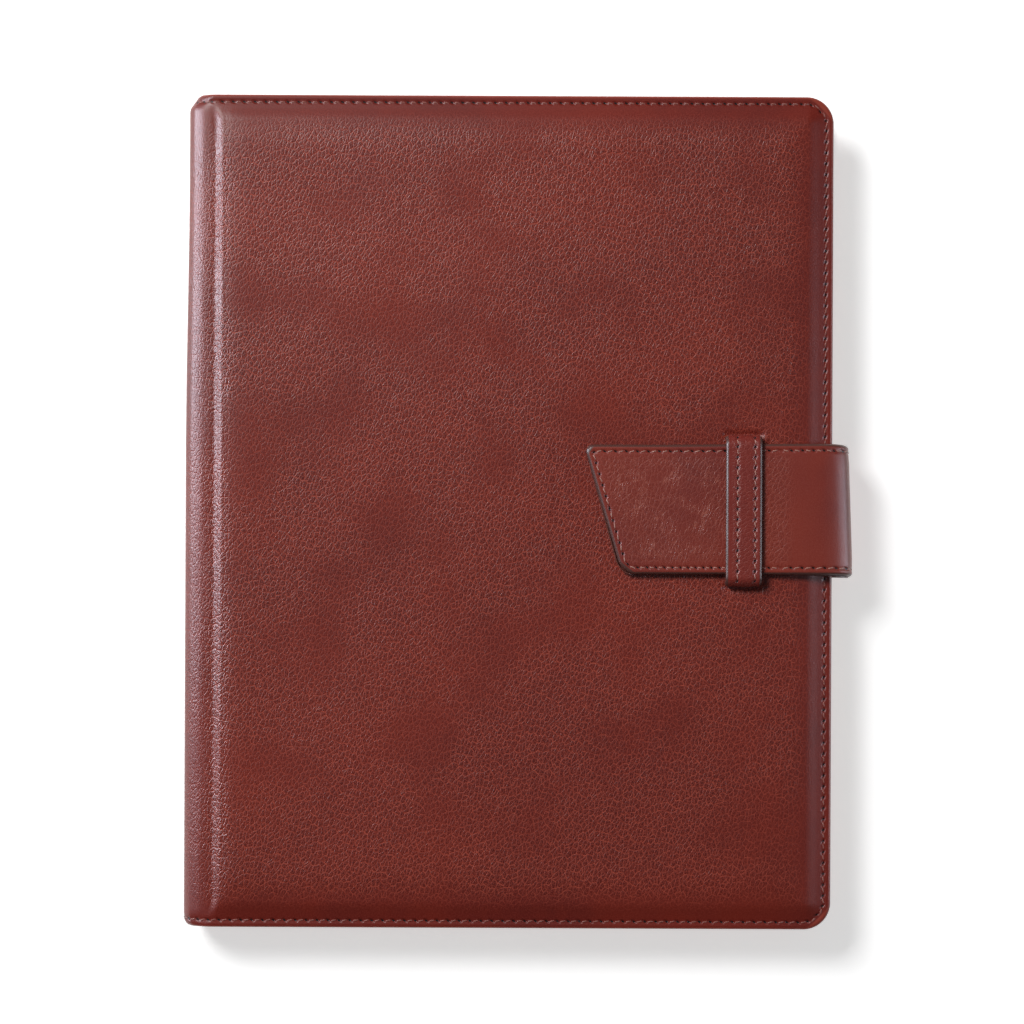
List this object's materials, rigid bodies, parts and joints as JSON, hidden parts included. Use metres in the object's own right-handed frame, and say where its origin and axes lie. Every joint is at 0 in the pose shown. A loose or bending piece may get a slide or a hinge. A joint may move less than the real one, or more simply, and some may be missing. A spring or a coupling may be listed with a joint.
{
  "type": "leather notebook cover",
  "caption": "Padded leather cover with a soft rounded spine, a notebook held in a sleeve, and a closing strap that slips under a keeper loop.",
  "frame": {"origin": "middle of the back cover's flat outer face, with the cover closed and lying on it", "axes": "+X from the spine to the fore-edge, +Y towards the head, +Z from the back cover to the front cover"},
  "size_m": [0.2164, 0.267, 0.0274],
  "materials": {
    "cover_leather": "pebbled, semi-gloss, waxed",
    "strap_leather": "smooth with creases, semi-gloss, painted edges",
    "strap_lining": "smooth, matt",
    "inside_leather": "smooth, matt",
    "lining_cloth": "woven twill, matt",
    "grey_board": "matt",
    "padding_foam": "matt",
    "page_paper": "matt, cut edges",
    "notebook_card": "matt",
    "binding_cloth": "woven, matt"
  },
  "bodies": {
    "back_cover": {"back_leather": "cover_leather", "back_padding": "padding_foam", "back_board": "grey_board", "back_lining": "lining_cloth", "back_sleeve": "inside_leather", "strap_root": "strap_leather", "notebook_back_card": "notebook_card", "notebook_pages": "page_paper", "notebook_front_card": "notebook_card", "notebook_tape": "binding_cloth"},
    "spine_lower": {"spine_leather_lower": "cover_leather", "spine_lining_lower": "lining_cloth"},
    "spine_middle": {"spine_leather_middle": "cover_leather", "spine_lining_middle": "lining_cloth"},
    "spine_upper": {"spine_leather_upper": "cover_leather", "spine_lining_upper": "lining_cloth"},
    "front_cover": {"front_leather": "cover_leather", "front_padding": "padding_foam", "front_board": "grey_board", "front_lining": "lining_cloth", "front_pocket": "inside_leather", "card_slot_1": "inside_leather", "card_slot_2": "inside_leather", "card_slot_3": "inside_leather", "keeper_leather": "strap_leather", "keeper_lining": "strap_lining"},
    "strap_lower": {"strap_leather_lower": "strap_leather", "strap_lining_lower": "strap_lining"},
    "strap_middle": {"strap_leather_middle": "strap_leather", "strap_lining_middle": "strap_lining"},
    "strap_upper": {"strap_leather_upper": "strap_leather", "strap_lining_upper": "strap_lining"},
    "strap_tongue": {"strap_leather_tongue": "strap_leather", "strap_lining_tongue": "strap_lining"}
  },
  "joints": [
    {"name": "spine_back_crease", "type": "hinge", "parent": "back_cover", "child": "spine_lower", "pos_m": [-0.0944, 0, 0.0024], "axis": [0, -1, 0], "range_deg": [0, 30]},
    {"name": "spine_lower_crease", "type": "hinge", "parent": "spine_lower", "child": "spine_middle", "pos_m": [-0.1046, 0, 0.00829], "axis": [0, -1, 0], "range_deg": [0, 60]},
    {"name": "spine_upper_crease", "type": "hinge", "parent": "spine_middle", "child": "spine_upper", "pos_m": [-0.1046, 0, 0.01411], "axis": [0, -1, 0], "range_deg": [0, 60]},
    {"name": "front_cover_crease", "type": "hinge", "parent": "spine_upper", "child": "front_cover", "pos_m": [-0.0944, 0, 0.02], "axis": [0, -1, 0], "range_deg": [0, 30]},
    {"name": "strap_root_crease", "type": "hinge", "parent": "back_cover", "child": "strap_lower", "pos_m": [0.1056, 0, 0.0028], "axis": [0, 1, 0], "range_deg": [0, 30]},
    {"name": "strap_lower_crease", "type": "hinge", "parent": "strap_lower", "child": "strap_middle", "pos_m": [0.1118, 0, 0.00638], "axis": [0, 1, 0], "range_deg": [0, 60]},
    {"name": "strap_upper_crease", "type": "hinge", "parent": "strap_middle", "child": "strap_upper", "pos_m": [0.1118, 0, 0.01973], "axis": [0, 1, 0], "range_deg": [0, 60]},
    {"name": "strap_tongue_crease", "type": "hinge", "parent": "strap_upper", "child": "strap_tongue", "pos_m": [0.1025, 0, 0.0251], "axis": [0, 1, 0], "range_deg": [0, 30], "deforming": ["strap_leather_upper", "strap_lining_upper", "strap_leather_tongue", "strap_lining_tongue"]}
  ],
  "couplings": [
    {"joint": "spine_lower_crease", "follows": "spine_back_crease", "ratio": 2},
    {"joint": "spine_upper_crease", "follows": "spine_back_crease", "ratio": 2},
    {"joint": "front_cover_crease", "follows": "spine_back_crease", "ratio": 1},
    {"joint": "strap_root_crease", "follows": "strap_tongue_crease", "ratio": 1},
    {"joint": "strap_lower_crease", "follows": "strap_tongue_crease", "ratio": 2},
    {"joint": "strap_upper_crease", "follows": "strap_tongue_crease", "ratio": 2}
  ]
}
